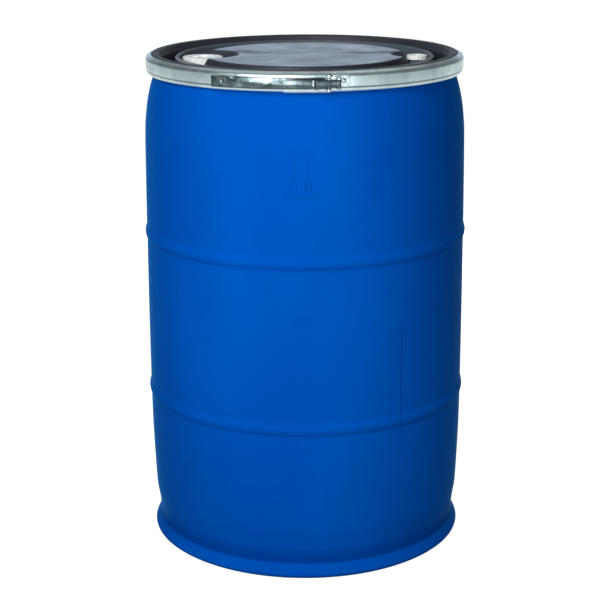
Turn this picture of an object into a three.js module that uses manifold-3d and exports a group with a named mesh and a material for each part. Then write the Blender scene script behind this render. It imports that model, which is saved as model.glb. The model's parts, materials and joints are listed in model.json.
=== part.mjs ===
// Open-head plastic drum, 208 litres, with a black lid, two bungs and a lever-lock closure ring.
// Millimetres, +Z up. The origin is on the floor under the drum's axis, and the lever is at the front, -Y.
import * as THREE from 'three';
import { mergeVertices } from 'three/addons/utils/BufferGeometryUtils.js';
import Module from 'manifold-3d';

const wasm = await Module();
wasm.setup();

// ---------- driving dimensions ----------
const ROUND_STEPS = 48; // facets round the large turned parts
const SMALL_STEPS = 24; // facets round bungs, bosses and pins
const PIN_STEPS = 12; // facets round pins and rivets
const GAP = 0.3; // clearance between separate pieces

const drum = {
  wall: 4.5,
  chimeR: 298.5, // widest point of the foot
  chimeZ: 11,
  waistR: 288.2, // groove above the foot
  waistZ: 42,
  bellyR: 300.4,
  hoopRise: 3.1, // height of a hoop above the wall
  hoopZ: [291, 595.5], // the two rolling hoops
  hoopHalf: 14,
  neckR: 278.6,
  neckZ: 888,
  flangeR: 288, // outward flange with a 45 degree underside, which the ring's lower leg hooks under
  flangeLow: 891.7,
  flangeTop: 904.5,
  lipTop: 918.2, // mouth lip, inside the lid's rim channel
};

const lidSize = {
  crestZ: 927,
  crestIn: 271.5,
  crestOut: 280.5,
  skirtR: 288.4,
  skirtLow: 905,
  wall: 4,
  ridgeR: 236, // narrow ridge between the bung groove and the deep channel
  ridgeZ: 920.5,
  discZ: 921.5,
  panel: 4.5, // thickness of the central disc
  channelIn: 241,
  channelOut: 264,
  channelZ: 889.5,
  grooveZ: 903, // floor of the groove that the bungs stand in
};

// The bung groove, from the edge of the disc across its floor and up to the ridge.
const groove = [
  [186, 935], [186, 921.5], [187.8, 919.5], [189.5, 906], [192.5, lidSize.grooveZ], [226.5, lidSize.grooveZ],
  [229.5, 906], [231.2, 919], [232.5, 920.5], [232.5, 935],
];

const lidSeal = { rIn: 271.3, rOut: 281.5, low: 918.6, high: 922.1 };

// Each bung stands in a round dish: pocketR is its radius at the groove's floor and at the disc.
const bungs = {
  large: {
    centre: [-188, 0], pocketR: [43, 68], seat: lidSize.grooveZ,
    headR: 37, headTop: 917.3, threadR: 29.8, low: 887, recessR: 22, recess: 3.3, boss: 35,
  },
  small: {
    centre: [208, -6], pocketR: [24, 50], seat: 909.5,
    headR: 19, headTop: 919.5, threadR: 13.2, low: 896, recessR: 9.5, recess: 3, boss: 18,
  },
};
const bungSealThick = 1.7;
const bungWall = 3.2;
const bungKeyWidth = 0.28; // width of the wrench cross, as a share of the recess radius

const ring = {
  sheet: 1.5,
  faceR: 293,
  faceLow: 903,
  faceTop: 921,
  topIn: [283, 926], // inner edge of the top leg
  lowIn: [280.5, 890.5], // inner edge of the lower leg
  gapX: [22, 29], // split between the band's two ends
};

// A block of space that takes in the whole ring, for cutting sectors and holes out of it.
const around = { rIn: 250, rOut: 320, low: 880, high: 940 };

// Stations along the latch, as distances from the centre plane (+X right).
const latch = {
  pinCircleR: 299.5, // all three pins sit on one circle about the drum's axis
  linkPinX: 20.5,
  pivotX: 40.5,
  bracketPinX: 57.5,
  pinR: 2,
  pinHole: 2.3,
  plateR: 293.3, // inner face of every plate riveted to the ring
  leverTip: -158,
  flangeStart: -126, // the last stretch of the lever is a flat tongue
  webEnd: 35,
  slotStart: 13, // opening in the web that lets the link swing out
  leverLow: 898,
  leverTop: 917,
  leverWebR: 304.1,
  flangeR: 295.3,
  gripX: [-120, -36], // raised panel pressed into the web
  gripInset: 5.5,
  gripRise: 0.8,
  slotInset: [2.6, 3.6], // web left below and above the link's opening
  lugSlot: [5, 10], // hole in the tongue that the seal lug passes through
  linkLow: 901,
  linkTop: 913,
  linkThick: 1.9,
  bracketX: [-36, 44.5],
  bracketTopIn: [286, 924.5],
  bracketLowIn: [283.5, 893.5],
  plateX: [48, 76.5],
  plateZ: [898.7, 921],
  linkEarGap: 0.8, // between the link and the bracket's upper ear
  leverEarHalf: 4.6,
  linkEarHalf: 4.4,
  earOverlap: 0.7, // how far an ear's root runs into its plate
};

const lug = {
  x: -133,
  z: 908,
  plateX: [-146.5, -128],
  plateZ: [901.5, 915.5],
  thick: 1.6,
  tall: 7,
  reach: [294.1, 311.1],
  eyeR: 1.7,
  eyeAt: 307.8,
};

// ---------- materials ----------
const finish = (color, roughness, metalness) => new THREE.MeshStandardMaterial({ color, roughness, metalness });
const bluePlastic = finish(0x0056b7, 0.45, 0);
const blackPlastic = finish(0x2b2d33, 0.4, 0);
const naturalPlastic = finish(0xd6d6c8, 0.5, 0);
const blackRubber = finish(0x17181a, 0.85, 0);
const zincSheet = finish(0xc3cdcc, 0.35, 0.9);
const brightZinc = finish(0xd5dddc, 0.25, 0.95);

// ---------- geometry helpers ----------
const azimuthOf = (x, radius) => Math.asin(x / radius);
const polar = (radius, azimuth) => new THREE.Vector2(
  radius * Math.sin(azimuth), -radius * Math.cos(azimuth));

// Turn a closed profile of [radius, height] about the Z axis.
function turned(profile, steps = ROUND_STEPS) {
  const points = profile.map(([r, z]) => new THREE.Vector2(r, z));
  if (THREE.ShapeUtils.area(points) < 0) points.reverse();
  const first = points[0];
  const last = points[points.length - 1];
  if (!(first.x === 0 && last.x === 0)) points.push(first.clone());
  return new THREE.LatheGeometry(points, steps).rotateX(Math.PI / 2);
}

function toSolid(geometry) {
  const bare = geometry.clone();
  bare.deleteAttribute('normal');
  bare.deleteAttribute('uv');
  const merged = mergeVertices(bare, 1e-4);
  const triangles = [];
  for (let i = 0; i < merged.index.count; i += 3) {
    const [a, b, c] = [0, 1, 2].map((k) => merged.index.getX(i + k));
    if (a !== b && b !== c && c !== a) triangles.push(a, b, c);
  }
  return new wasm.Manifold(new wasm.Mesh({
    numProp: 3,
    vertProperties: Float32Array.from(merged.attributes.position.array),
    triVerts: Uint32Array.from(triangles),
  }));
}

function toGeometry(solid) {
  const found = solid.getMesh();
  const geometry = new THREE.BufferGeometry();
  geometry.setAttribute('position', new THREE.BufferAttribute(found.vertProperties, 3));
  geometry.setIndex(new THREE.BufferAttribute(found.triVerts, 1));
  geometry.computeVertexNormals();
  return geometry;
}

// Join every shape in `add`, then cut away every shape in `cut`.
function combine(add, cut = []) {
  let solid = toSolid(add[0]);
  for (const shape of add.slice(1)) solid = solid.add(toSolid(shape));
  for (const shape of cut) solid = solid.subtract(toSolid(shape));
  return toGeometry(solid);
}

function extruded(shape, low, high, curveSegments = 12) {
  const options = { depth: high - low, bevelEnabled: false, curveSegments };
  return new THREE.ExtrudeGeometry(shape, options).translate(0, 0, low);
}

// A flat ring sector in plan, from azimuth a0 to a1.
function sector(rIn, rOut, a0, a1) {
  const shape = new THREE.Shape();
  shape.absarc(0, 0, rOut, a0 - Math.PI / 2, a1 - Math.PI / 2, false);
  shape.absarc(0, 0, rIn, a1 - Math.PI / 2, a0 - Math.PI / 2, true);
  return shape;
}

// A curved plate between two X stations, wrapped on the ring.
function curvedPlate(rIn, rOut, [x0, x1], low, high, curveSegments = 12) {
  return extruded(sector(rIn, rOut, azimuthOf(x0, rIn), azimuthOf(x1, rIn)), low, high, curveSegments);
}

function verticalCylinder(x, y, radius, low, high, steps = SMALL_STEPS) {
  const geometry = new THREE.CylinderGeometry(radius, radius, high - low, steps);
  return geometry.rotateX(Math.PI / 2).translate(x, y, (low + high) / 2);
}

// Lay a shape made along +Z so that +Z points out of the ring at an azimuth.
function radial(geometry, azimuth, z) {
  return geometry.rotateX(Math.PI / 2).rotateZ(azimuth).translate(0, 0, z);
}

function radialCylinder(azimuth, z, radius, from, to) {
  const geometry = new THREE.CylinderGeometry(radius, radius, to - from, PIN_STEPS);
  return radial(geometry.rotateX(Math.PI / 2).translate(0, 0, (from + to) / 2), azimuth, z);
}

// Shift a polyline sideways by a distance, with mitred corners. Positive is to the left of its direction.
function offsetPath(points, distance) {
  const normal = (p, q) => {
    const length = Math.hypot(q[0] - p[0], q[1] - p[1]);
    return [-(q[1] - p[1]) / length, (q[0] - p[0]) / length];
  };
  return points.map((p, i) => {
    const before = normal(points[Math.max(i - 1, 0)], points[Math.max(i, 1)]);
    const last = points.length - 1;
    const after = normal(points[Math.min(i, last - 1)], points[Math.min(i + 1, last)]);
    const dot = before[0] * after[0] + before[1] * after[1];
    const scale = distance / (1 + dot);
    return [p[0] + (before[0] + after[0]) * scale, p[1] + (before[1] + after[1]) * scale];
  });
}

const strip = (path, inner, outer) => [...offsetPath(path, outer), ...offsetPath(path, inner).reverse()];

// ---------- drum body ----------
// Height of a hoop's swell above the wall at one height.
function hoopSwell(z) {
  return Math.max(...drum.hoopZ.map((h) => {
    const t = Math.abs(z - h) / drum.hoopHalf;
    return t < 1 ? drum.hoopRise * (0.5 + 0.5 * Math.cos(Math.PI * t)) : 0;
  }));
}

// The wall between the foot and the neck, without its hoops.
const wall = [
  [293.3, 22], [drum.waistR, drum.waistZ], [291, 69], [294.4, 91], [297.3, 152], [299.3, 212],
  [300, 265], [drum.bellyR, 390], [300, 550], [299.4, 650], [298.3, 747], [297, 795],
  [292.7, 835], [287.2, 862], [281.9, 880], [drum.neckR, drum.neckZ],
];

function wallRadius(z) {
  const i = wall.findIndex((p) => p[1] >= z);
  const [r0, z0] = wall[i - 1];
  const [r1, z1] = wall[i];
  return r0 + ((r1 - r0) * (z - z0)) / (z1 - z0);
}

function drumOutline() {
  const foot = [[284, 0], [287.6, 0], [293, 3.4], [297.3, 7], [drum.chimeR, drum.chimeZ], [297, 14.6]];
  const clearOfHoops = ([, z]) => drum.hoopZ.every((h) => Math.abs(z - h) > drum.hoopHalf + 4);
  const outline = wall.filter(clearOfHoops);
  for (const h of drum.hoopZ) {
    for (const t of [-1, -0.5, 0, 0.5, 1]) {
      const z = h + t * drum.hoopHalf;
      outline.push([wallRadius(z) + hoopSwell(z), z]);
    }
  }
  outline.sort((a, b) => a[1] - b[1]);
  return [...foot, ...outline];
}

function drumBody() {
  const outer = drumOutline();
  const mouth = [
    [drum.neckR, drum.flangeLow], [drum.flangeR, drum.flangeLow + drum.flangeR - drum.neckR],
    [drum.flangeR, drum.flangeTop], [drum.neckR, drum.flangeTop], [drum.neckR, drum.lipTop],
    [drum.neckR - drum.wall, drum.lipTop],
  ];
  const inner = [
    [drum.neckR - drum.wall, 884], [288, 838], [294, 760], [295.9, 560], [295.9, 340], [294.6, 215], [289.5, 88],
    [283.5, 42], [286, 20], [280, 13],
  ];
  const underside = [[0, 7], [256, 7], [266, 0]];
  const floor = [0, 12];
  return turned([...underside, ...outer, ...mouth, ...inner, floor]);
}

// ---------- lid ----------
function lidShell() {
  const s = lidSize;
  const top = [
    [0, s.discZ], [187, s.discZ], [190, s.ridgeZ], [s.ridgeR, s.ridgeZ],
    [s.ridgeR + 2.5, s.ridgeZ - 2.5], [s.channelIn, s.channelZ + 3], [s.channelIn + 3, s.channelZ],
    [s.channelOut - 3, s.channelZ], [s.channelOut, s.channelZ + 3], [265.5, 915], [267, 917.5],
    [269.5, 925.3], [s.crestIn, s.crestZ], [s.crestOut, s.crestZ], [281.6, 926], [281.9, 923.8],
  ];
  const rim = [
    [s.skirtR, 920.5], [s.skirtR, s.skirtLow], [s.skirtR - s.wall, s.skirtLow], [283.2, 918], [282, 922.4],
    [270.9, 922.4], [270.2, 909],
  ];
  const under = [
    [268.2, 888], [264.5, 885.5], [240.5, 885.5], [237, 888], [235, 897], [232.5, s.grooveZ - s.wall],
    [188, s.grooveZ - s.wall], [185.5, 901], [183.5, 914.5], [181, s.discZ - s.panel], [0, s.discZ - s.panel],
  ];
  return turned([...top, ...rim, ...under]);
}

// The part of a round dish about a bung that lies inside a radius from the drum's axis.
function dish(b, [lowR, highR], low, high, insideR) {
  const [x, y] = b.centre;
  const cone = turned([[0, low], [lowR, low], [highR, high], [0, high]], 40).translate(x, y, 0);
  const beyond = turned([[insideR, low - 5], [around.rOut, low - 5], [around.rOut, high + 5], [insideR, high + 5]]);
  return combine([cone], [beyond]);
}

// Every bung has a dish that opens the groove towards the disc, a seat, and a threaded boss below it.
function lid() {
  const { grooveZ, wall, discZ, panel } = lidSize;
  const add = [lidShell()];
  const cut = [turned(groove)];
  const holes = [];
  const seats = [];
  for (const b of Object.values(bungs)) {
    const [x, y] = b.centre;
    const [lowR, highR] = b.pocketR;
    const seatLow = grooveZ - 2;
    const outer = b.pocketR.map((r) => r + wall);
    add.push(dish(b, outer, grooveZ - wall - GAP, discZ - panel + 1, 233));
    cut.push(dish(b, [lowR, highR + (highR - lowR) / 10], grooveZ, discZ + (discZ - grooveZ) / 10, 231));
    add.push(verticalCylinder(x, y, b.boss, b.low - 1, seatLow));
    if (b.seat > grooveZ) seats.push(verticalCylinder(x, y, b.boss - 0.5, seatLow - 1, b.seat));
    holes.push(verticalCylinder(x, y, b.threadR + GAP, b.low - 3, b.seat + 1));
  }
  return combine([combine(add, cut), ...seats], holes);
}

const lidGasket = () => turned([
  [lidSeal.rIn, lidSeal.low], [lidSeal.rOut, lidSeal.low],
  [lidSeal.rOut, lidSeal.high], [lidSeal.rIn, lidSeal.high],
]);

// ---------- bungs ----------
const headUnderside = (b) => b.seat + bungSealThick + 2 * GAP;

function bung(b) {
  const floor = b.headTop - b.recess;
  const profile = [
    [0, floor], [b.recessR, floor], [b.recessR + 0.5, b.headTop], [b.headR - 1, b.headTop],
    [b.headR, b.headTop - 1], [b.headR, headUnderside(b)], [b.threadR, headUnderside(b)], [b.threadR, b.low],
    [b.threadR - bungWall, b.low], [b.threadR - bungWall, floor - 3], [0, floor - 3],
  ];
  const [x, y] = b.centre;
  const key = (angle) => new THREE.BoxGeometry(2 * b.recessR, bungKeyWidth * b.recessR, b.recess)
    .rotateZ(angle).translate(0, 0, floor + b.recess / 2 - 0.6);
  const body = combine([turned(profile, SMALL_STEPS), key(0), key(Math.PI / 2)]);
  return body.translate(x, y, 0);
}

function bungGasket(b) {
  const low = b.seat + GAP;
  const inner = b.threadR + 0.4;
  const outer = b.headR - 1.5;
  const profile = [[inner, low], [outer, low], [outer, low + bungSealThick], [inner, low + bungSealThick]];
  return turned(profile, SMALL_STEPS).translate(b.centre[0], b.centre[1], 0);
}

// ---------- closure ring ----------
const bandPath = [ring.lowIn, [ring.faceR, ring.faceLow], [ring.faceR, ring.faceTop], ring.topIn];

const plateOut = latch.plateR + ring.sheet;

// Station and height of each rivet.
const rivets = {
  lever_bracket_rivet_left: { x: -28, z: 910 },
  lever_bracket_rivet_right: { x: 4, z: 910 },
  seal_lug_rivet: { x: -141, z: lug.z },
  link_bracket_rivet: { x: 66, z: 911 },
};
const rivetR = 2.2;
const rivetHoleReach = [285, 300];
const rivetHoles = (names) => names.map((n) => radialCylinder(
  azimuthOf(rivets[n].x, ring.faceR), rivets[n].z, rivetR + GAP, ...rivetHoleReach));

function closureBand() {
  const [g0, g1] = ring.gapX.map((x) => azimuthOf(x, ring.faceR));
  const gap = extruded(sector(around.rIn, around.rOut, g0, g1), around.low, around.high);
  const hoop = turned(strip(bandPath, 0, ring.sheet));
  return combine([hoop], [gap, ...rivetHoles(Object.keys(rivets))]);
}

function rivet({ x, z }) {
  const facetDip = ring.faceR * (1 - Math.cos(Math.PI / ROUND_STEPS));
  const inside = ring.faceR - ring.sheet - facetDip - GAP;
  const outside = plateOut + GAP;
  const profile = [
    [0, inside - 1.3], [4, inside - 1.3], [4, inside], [rivetR, inside], [rivetR, outside],
    [4.2, outside], [3.6, outside + 1.1], [1.8, outside + 1.7], [0, outside + 1.7],
  ];
  return radial(turned(profile, PIN_STEPS), azimuthOf(x, ring.faceR), z);
}

// A flat lug round a vertical pin, reaching in to a riveted plate.
function ear(pinX, rIn, halfWidth, low, high) {
  const a = azimuthOf(pinX, latch.pinCircleR);
  const pin = polar(latch.pinCircleR, a);
  const root = polar(rIn, a);
  const side = new THREE.Vector2(Math.cos(a), Math.sin(a)).multiplyScalar(halfWidth);
  const shape = new THREE.Shape();
  shape.moveTo(root.x - side.x, root.y - side.y);
  shape.lineTo(pin.x - side.x, pin.y - side.y);
  shape.absarc(pin.x, pin.y, halfWidth, a + Math.PI, a + 2 * Math.PI, false);
  shape.lineTo(root.x + side.x, root.y + side.y);
  shape.closePath();
  return extruded(shape, low, high, 8);
}

function pinHole(pinX) {
  const p = polar(latch.pinCircleR, azimuthOf(pinX, latch.pinCircleR));
  return verticalCylinder(p.x, p.y, latch.pinHole, around.low, around.high, PIN_STEPS);
}

// A headed pin: shank between `low` and `high`, with a head outside each end.
function headedPin(pinX, low, high, headR, head) {
  const p = polar(latch.pinCircleR, azimuthOf(pinX, latch.pinCircleR));
  const r = latch.pinR;
  const profile = [
    [0, low - head], [headR - 0.6, low - head], [headR, low - head + 0.6], [headR, low], [r, low], [r, high],
    [headR, high], [headR, high + head - 0.6], [headR - 0.6, high + head], [0, high + head],
  ];
  return turned(profile, PIN_STEPS).translate(p.x, p.y, 0);
}

const earGap = 0.6;
const bracketEars = {
  low: [latch.leverLow - earGap - ring.sheet, latch.leverLow - earGap],
  high: [latch.leverTop + earGap, latch.leverTop + earGap + ring.sheet],
};

function leverBracket() {
  const path = [latch.bracketLowIn, [ring.faceR, ring.faceLow], [ring.faceR, ring.faceTop], latch.bracketTopIn];
  const skin = turned(strip(path, -ring.sheet - GAP, -GAP));
  const [a0, a1] = latch.bracketX.map((x) => azimuthOf(x, ring.faceR));
  const rest = extruded(
    sector(around.rIn, around.rOut, a1, a0 + 2 * Math.PI), around.low, around.high, ROUND_STEPS);
  const wrap = combine([skin], [rest]);
  const lowerLegR = 288.15; // the wrap's lower leg at the height of the lower ear
  const lowerEar = ear(latch.pivotX, lowerLegR, latch.leverEarHalf, ...bracketEars.low);
  const upperEar = ear(
    latch.pivotX, latch.plateR + latch.earOverlap, latch.leverEarHalf, ...bracketEars.high);
  const names = ['lever_bracket_rivet_left', 'lever_bracket_rivet_right'];
  return combine([wrap, lowerEar, upperEar], [pinHole(latch.pivotX), ...rivetHoles(names)]);
}

function sealLug() {
  const a = azimuthOf(lug.x, ring.faceR);
  const plate = curvedPlate(latch.plateR, plateOut, lug.plateX, ...lug.plateZ, 4);
  const [from, to] = lug.reach;
  const fin = new THREE.BoxGeometry(lug.thick, lug.tall, to - from).translate(0, 0, (from + to) / 2);
  const eye = new THREE.CylinderGeometry(lug.eyeR, lug.eyeR, 4 * lug.thick, PIN_STEPS)
    .rotateZ(Math.PI / 2).translate(0, 0, lug.eyeAt);
  const holes = rivetHoles(['seal_lug_rivet']);
  return combine([plate, radial(fin, a, lug.z)], [radial(eye, a, lug.z), ...holes]);
}

function linkBracket() {
  const [low, high] = latch.plateZ;
  const plate = curvedPlate(latch.plateR, plateOut, latch.plateX, low, high, 6);
  const root = latch.plateR + latch.earOverlap;
  const upperLow = latch.linkTop + latch.linkEarGap;
  const ears = [low, upperLow].map((z) => ear(
    latch.bracketPinX, root, latch.linkEarHalf, z, z + ring.sheet));
  const holes = rivetHoles(['link_bracket_rivet']);
  return combine([plate, ...ears], [pinHole(latch.bracketPinX), ...holes]);
}

// ---------- lever and link ----------
function leverFlange(low, high) {
  const endAzimuth = azimuthOf(latch.pivotX, latch.pinCircleR);
  const start = azimuthOf(latch.flangeStart, latch.leverWebR);
  const outer = latch.leverWebR + ring.sheet;
  const pin = polar(latch.pinCircleR, endAzimuth);
  const round = latch.pinCircleR - latch.flangeR;
  const shape = new THREE.Shape();
  const webEnd = azimuthOf(latch.webEnd, latch.leverWebR);
  shape.absarc(0, 0, outer, start - Math.PI / 2, webEnd - Math.PI / 2, false);
  shape.absarc(pin.x, pin.y, round, endAzimuth - Math.PI / 2, endAzimuth + Math.PI / 2, false);
  shape.absarc(0, 0, latch.flangeR, endAzimuth - Math.PI / 2, start - Math.PI / 2, true);
  shape.closePath();
  return extruded(shape, low, high, 8);
}

function lever() {
  const { leverLow: low, leverTop: high, leverWebR: webIn } = latch;
  const webOut = webIn + ring.sheet;
  const web = curvedPlate(webIn, webOut, [latch.leverTip, latch.webEnd], low, high, 10);
  const flanges = [leverFlange(low, low + ring.sheet), leverFlange(high - ring.sheet, high)];
  const grip = curvedPlate(
    webIn + 0.5, webOut + latch.gripRise, latch.gripX, low + latch.gripInset, high - latch.gripInset, 5);
  const [slotLow, slotHigh] = latch.slotInset;
  const slot = curvedPlate(
    webIn - 1, webOut + 1, [latch.slotStart, latch.webEnd + 6], low + slotLow, high - slotHigh, 4);
  const lugSlot = radial(
    new THREE.BoxGeometry(...latch.lugSlot, 14).translate(0, 0, webIn), azimuthOf(lug.x, ring.faceR), lug.z);
  return combine([web, ...flanges, grip],
    [slot, lugSlot, pinHole(latch.pivotX), pinHole(latch.linkPinX)]);
}

// The draw link: a strip that passes outside the pivot pin, with a full eye at the lever
// and a hook, open towards the drum, at the bracket.
function link() {
  const r = latch.pinCircleR;
  const [a0, a1] = [latch.linkPinX, latch.bracketPinX].map((x) => azimuthOf(x, r));
  const inner = latch.pinHole;
  const outer = latch.pinHole + latch.linkThick;
  const span = extruded(sector(r + inner, r + outer, a0, a1), latch.linkLow, latch.linkTop, 4);
  const p0 = polar(r, a0);
  const p1 = polar(r, a1);
  const eye = verticalCylinder(p0.x, p0.y, outer, latch.linkLow, latch.linkTop, 16);
  const hookShape = new THREE.Shape();
  hookShape.absarc(p1.x, p1.y, outer, a1 - Math.PI / 2, a1, false);
  hookShape.absarc(p1.x, p1.y, inner, a1, a1 - Math.PI / 2, true);
  hookShape.closePath();
  const hook = extruded(hookShape, latch.linkLow, latch.linkTop, 4);
  return combine([span, eye, hook], [pinHole(latch.linkPinX)]);
}

// ---------- assembly ----------
const assembly = new THREE.Group();

function place(name, geometry, material) {
  const piece = new THREE.Mesh(geometry, material);
  piece.name = name;
  assembly.add(piece);
}

place('drum_body', drumBody(), bluePlastic);
place('lid', lid(), blackPlastic);
place('lid_gasket', lidGasket(), blackRubber);
place('large_bung', bung(bungs.large), naturalPlastic);
place('large_bung_gasket', bungGasket(bungs.large), blackRubber);
place('small_bung', bung(bungs.small), naturalPlastic);
place('small_bung_gasket', bungGasket(bungs.small), blackRubber);
place('closure_band', closureBand(), zincSheet);
place('lever_bracket', leverBracket(), zincSheet);
place('seal_lug', sealLug(), zincSheet);
place('link_bracket', linkBracket(), zincSheet);
for (const [name, at] of Object.entries(rivets)) place(name, rivet(at), brightZinc);
place('lever', lever(), zincSheet);
place('link', link(), zincSheet);
place('lever_pivot_pin', headedPin(
  latch.pivotX, bracketEars.low[0] - GAP, bracketEars.high[1] + GAP, 3.4, 2.2), brightZinc);
place('link_pin', headedPin(
  latch.linkPinX, latch.leverLow - GAP, latch.leverTop + GAP, 3.3, 1.1), brightZinc);
place('link_bracket_pin', headedPin(
  latch.bracketPinX, latch.plateZ[0] - GAP, latch.linkTop + latch.linkEarGap + ring.sheet + GAP,
  3.3, 1.4), brightZinc);

export default assembly;
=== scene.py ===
"""Looks of an open-head plastic drum with a lever-lock closure ring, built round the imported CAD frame.

Sizes inside the shape functions are millimetres, and every mesh is written to Blender in metres.
Azimuths are measured about the drum's axis from the front, -Y, towards +X.
"""
import json
import math

import bmesh
import bpy
from mathutils import Matrix, Vector, noise


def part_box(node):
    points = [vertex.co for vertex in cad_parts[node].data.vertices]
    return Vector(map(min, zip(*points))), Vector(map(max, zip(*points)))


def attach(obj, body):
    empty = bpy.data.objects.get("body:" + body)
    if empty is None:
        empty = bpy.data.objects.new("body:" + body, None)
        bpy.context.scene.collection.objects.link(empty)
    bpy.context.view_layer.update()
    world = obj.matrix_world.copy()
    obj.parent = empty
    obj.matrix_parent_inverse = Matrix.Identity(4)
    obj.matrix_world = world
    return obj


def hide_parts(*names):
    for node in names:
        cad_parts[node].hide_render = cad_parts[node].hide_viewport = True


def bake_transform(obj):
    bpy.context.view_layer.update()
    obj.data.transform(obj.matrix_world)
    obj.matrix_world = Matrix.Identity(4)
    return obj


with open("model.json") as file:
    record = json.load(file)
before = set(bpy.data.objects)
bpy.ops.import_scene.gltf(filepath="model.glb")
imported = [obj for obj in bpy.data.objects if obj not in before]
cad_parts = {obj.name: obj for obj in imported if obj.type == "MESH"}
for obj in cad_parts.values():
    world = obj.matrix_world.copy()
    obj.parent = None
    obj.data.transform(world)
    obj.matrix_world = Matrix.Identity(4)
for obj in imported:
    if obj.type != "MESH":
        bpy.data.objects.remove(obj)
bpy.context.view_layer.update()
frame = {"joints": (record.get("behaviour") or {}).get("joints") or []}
MM = 0.001


def box_mm(node):
    low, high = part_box(node)
    return [c / MM for c in low], [c / MM for c in high]


# ---------- driving dimensions, read from the frame where it has them ----------
HOOP_R, _, LIP_TOP = box_mm("drum_body")[1]
BAND_LOW, BAND_HIGH = box_mm("closure_band")
RING_R = BAND_HIGH[0]
LEVER_LOW, LEVER_HIGH = box_mm("lever")
CREST_Z = box_mm("lid")[1][2]

# Pins stand on one circle about the drum's axis; each is placed by its x.
PIN_CIRCLE = 299.5
LINK_PIN_X = 20.5
PIVOT_X = 40.5
BRACKET_PIN_X = 57.5
PIN_R = 2.0
PIN_HOLE = 2.3
SHEET = 1.5
GAP = 0.3
PLATE_R = RING_R + GAP
PLATE_OUT = PLATE_R + SHEET
RIVET_HEIGHT = 910

# The ring's outside in section, from its lower leg to its upper leg, and how far each corner is rounded.
FACE_TOP = 921.0
CREASE_LOW, CREASE_HIGH = 899.2, 900.8
BAND_PATH = [
    (280.5, BAND_LOW[2]), (288.8, 891.6), (291.6, 895), (291.6, CREASE_LOW), (RING_R, CREASE_HIGH),
    (RING_R, FACE_TOP), (283.0, BAND_HIGH[2]),
]
BAND_ROUND = [0, 2.5, 2.5, 0.8, 0.8, 4.5, 0]
BAND_GAP_X = (22.0, 29.0)

# Drum and lid.
WALL_R = 300.0
HOOPS = (291.0, 595.5)
CHIME_TOP = 32.0
DISC_R = 184.5
GROOVE_Z = 903.0
GROOVE_OUT = 236.0
RIDGE_Z = 920.5
DISC_Z = 921.5
DISC_UNDER = 917.0

# The lever's web and the inner edge of its flanges.
WEB_R = 304.05
FLANGE_IN = 295.3


# ---------- plane geometry ----------
def azimuth_of(x, radius=RING_R):
    return math.asin(x / radius)


def polar(radius, azimuth):
    return radius * math.sin(azimuth), -radius * math.cos(azimuth)


def soften(points, setbacks, steps=4, closed=True):
    """Round each corner with a curve that starts `setback` before it and ends as far past it."""
    count = len(points)
    if not hasattr(setbacks, "__len__"):
        setbacks = [setbacks] * count
    out = []
    for i, (point, setback) in enumerate(zip(points, setbacks)):
        p = Vector(point)
        end = not closed and i in (0, count - 1)
        if end or setback <= 0:
            out.append(tuple(p))
            continue
        before = Vector(points[i - 1]) - p
        after = Vector(points[(i + 1) % count]) - p
        reach = min(setback, 0.48 * before.length, 0.48 * after.length)
        start = p + before.normalized() * reach
        finish = p + after.normalized() * reach
        for k in range(steps + 1):
            t = k / steps
            out.append(tuple(start * (1 - t) ** 2 + p * 2 * t * (1 - t) + finish * t * t))
    return out


def offset(path, distance):
    """Shift an open polyline to the left of its direction, with mitred corners."""
    vectors = [Vector(p) for p in path]
    out = []
    for i, p in enumerate(vectors):
        ahead = (vectors[min(i + 1, len(path) - 1)] - vectors[min(i, len(path) - 2)]).normalized()
        behind = (vectors[max(i, 1)] - vectors[max(i - 1, 0)]).normalized()
        normal_a, normal_b = Vector((-ahead.y, ahead.x)), Vector((-behind.y, behind.x))
        both = normal_a + normal_b
        out.append(tuple(p + both * (distance / max(1 + normal_a.dot(normal_b), 0.3))))
    return out


def strip(path, near, far):
    """The closed outline between a polyline's two offsets."""
    return offset(path, near) + offset(path, far)[::-1]


def hermite(table, z):
    """Smooth interpolation of [radius, height] rows with finite-difference slopes."""
    i = max(k for k in range(len(table) - 1) if table[k][1] <= z or k == 0)

    def slope(k):
        a, b = table[max(k - 1, 0)], table[min(k + 1, len(table) - 1)]
        return (b[0] - a[0]) / (b[1] - a[1])

    (r0, z0), (r1, z1) = table[i], table[i + 1]
    h = z1 - z0
    t = min(max((z - z0) / h, 0), 1)
    return ((2 * t ** 3 - 3 * t ** 2 + 1) * r0 + (t ** 3 - 2 * t ** 2 + t) * h * slope(i)
            + (3 * t ** 2 - 2 * t ** 3) * r1 + (t ** 3 - t ** 2) * h * slope(i + 1))


# ---------- solids ----------
def raw_turned(profile, steps=192, shape=None):
    """Vertices and faces of a closed [radius, height] outline turned about Z.

    shape(azimuth, radius, height) may move a point; it returns the new radius and height.
    """
    verts, rings = [], []
    for r, z in profile:
        if r < 1e-6:
            rings.append([len(verts)])
            verts.append((0, 0, z))
            continue
        rings.append(list(range(len(verts), len(verts) + steps)))
        for k in range(steps):
            a = 2 * math.pi * k / steps
            radius, height = shape(a, r, z) if shape else (r, z)
            verts.append((*polar(radius, a), height))
    faces = []
    for one, other in zip(rings, rings[1:] + rings[:1]):
        if len(one) == 1 and len(other) == 1:
            continue
        for k in range(steps):
            n = (k + 1) % steps
            if len(one) == 1:
                faces.append((one[0], other[n], other[k]))
            elif len(other) == 1:
                faces.append((one[k], one[n], other[0]))
            else:
                faces.append((one[k], one[n], other[n], other[k]))
    return verts, faces


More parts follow.
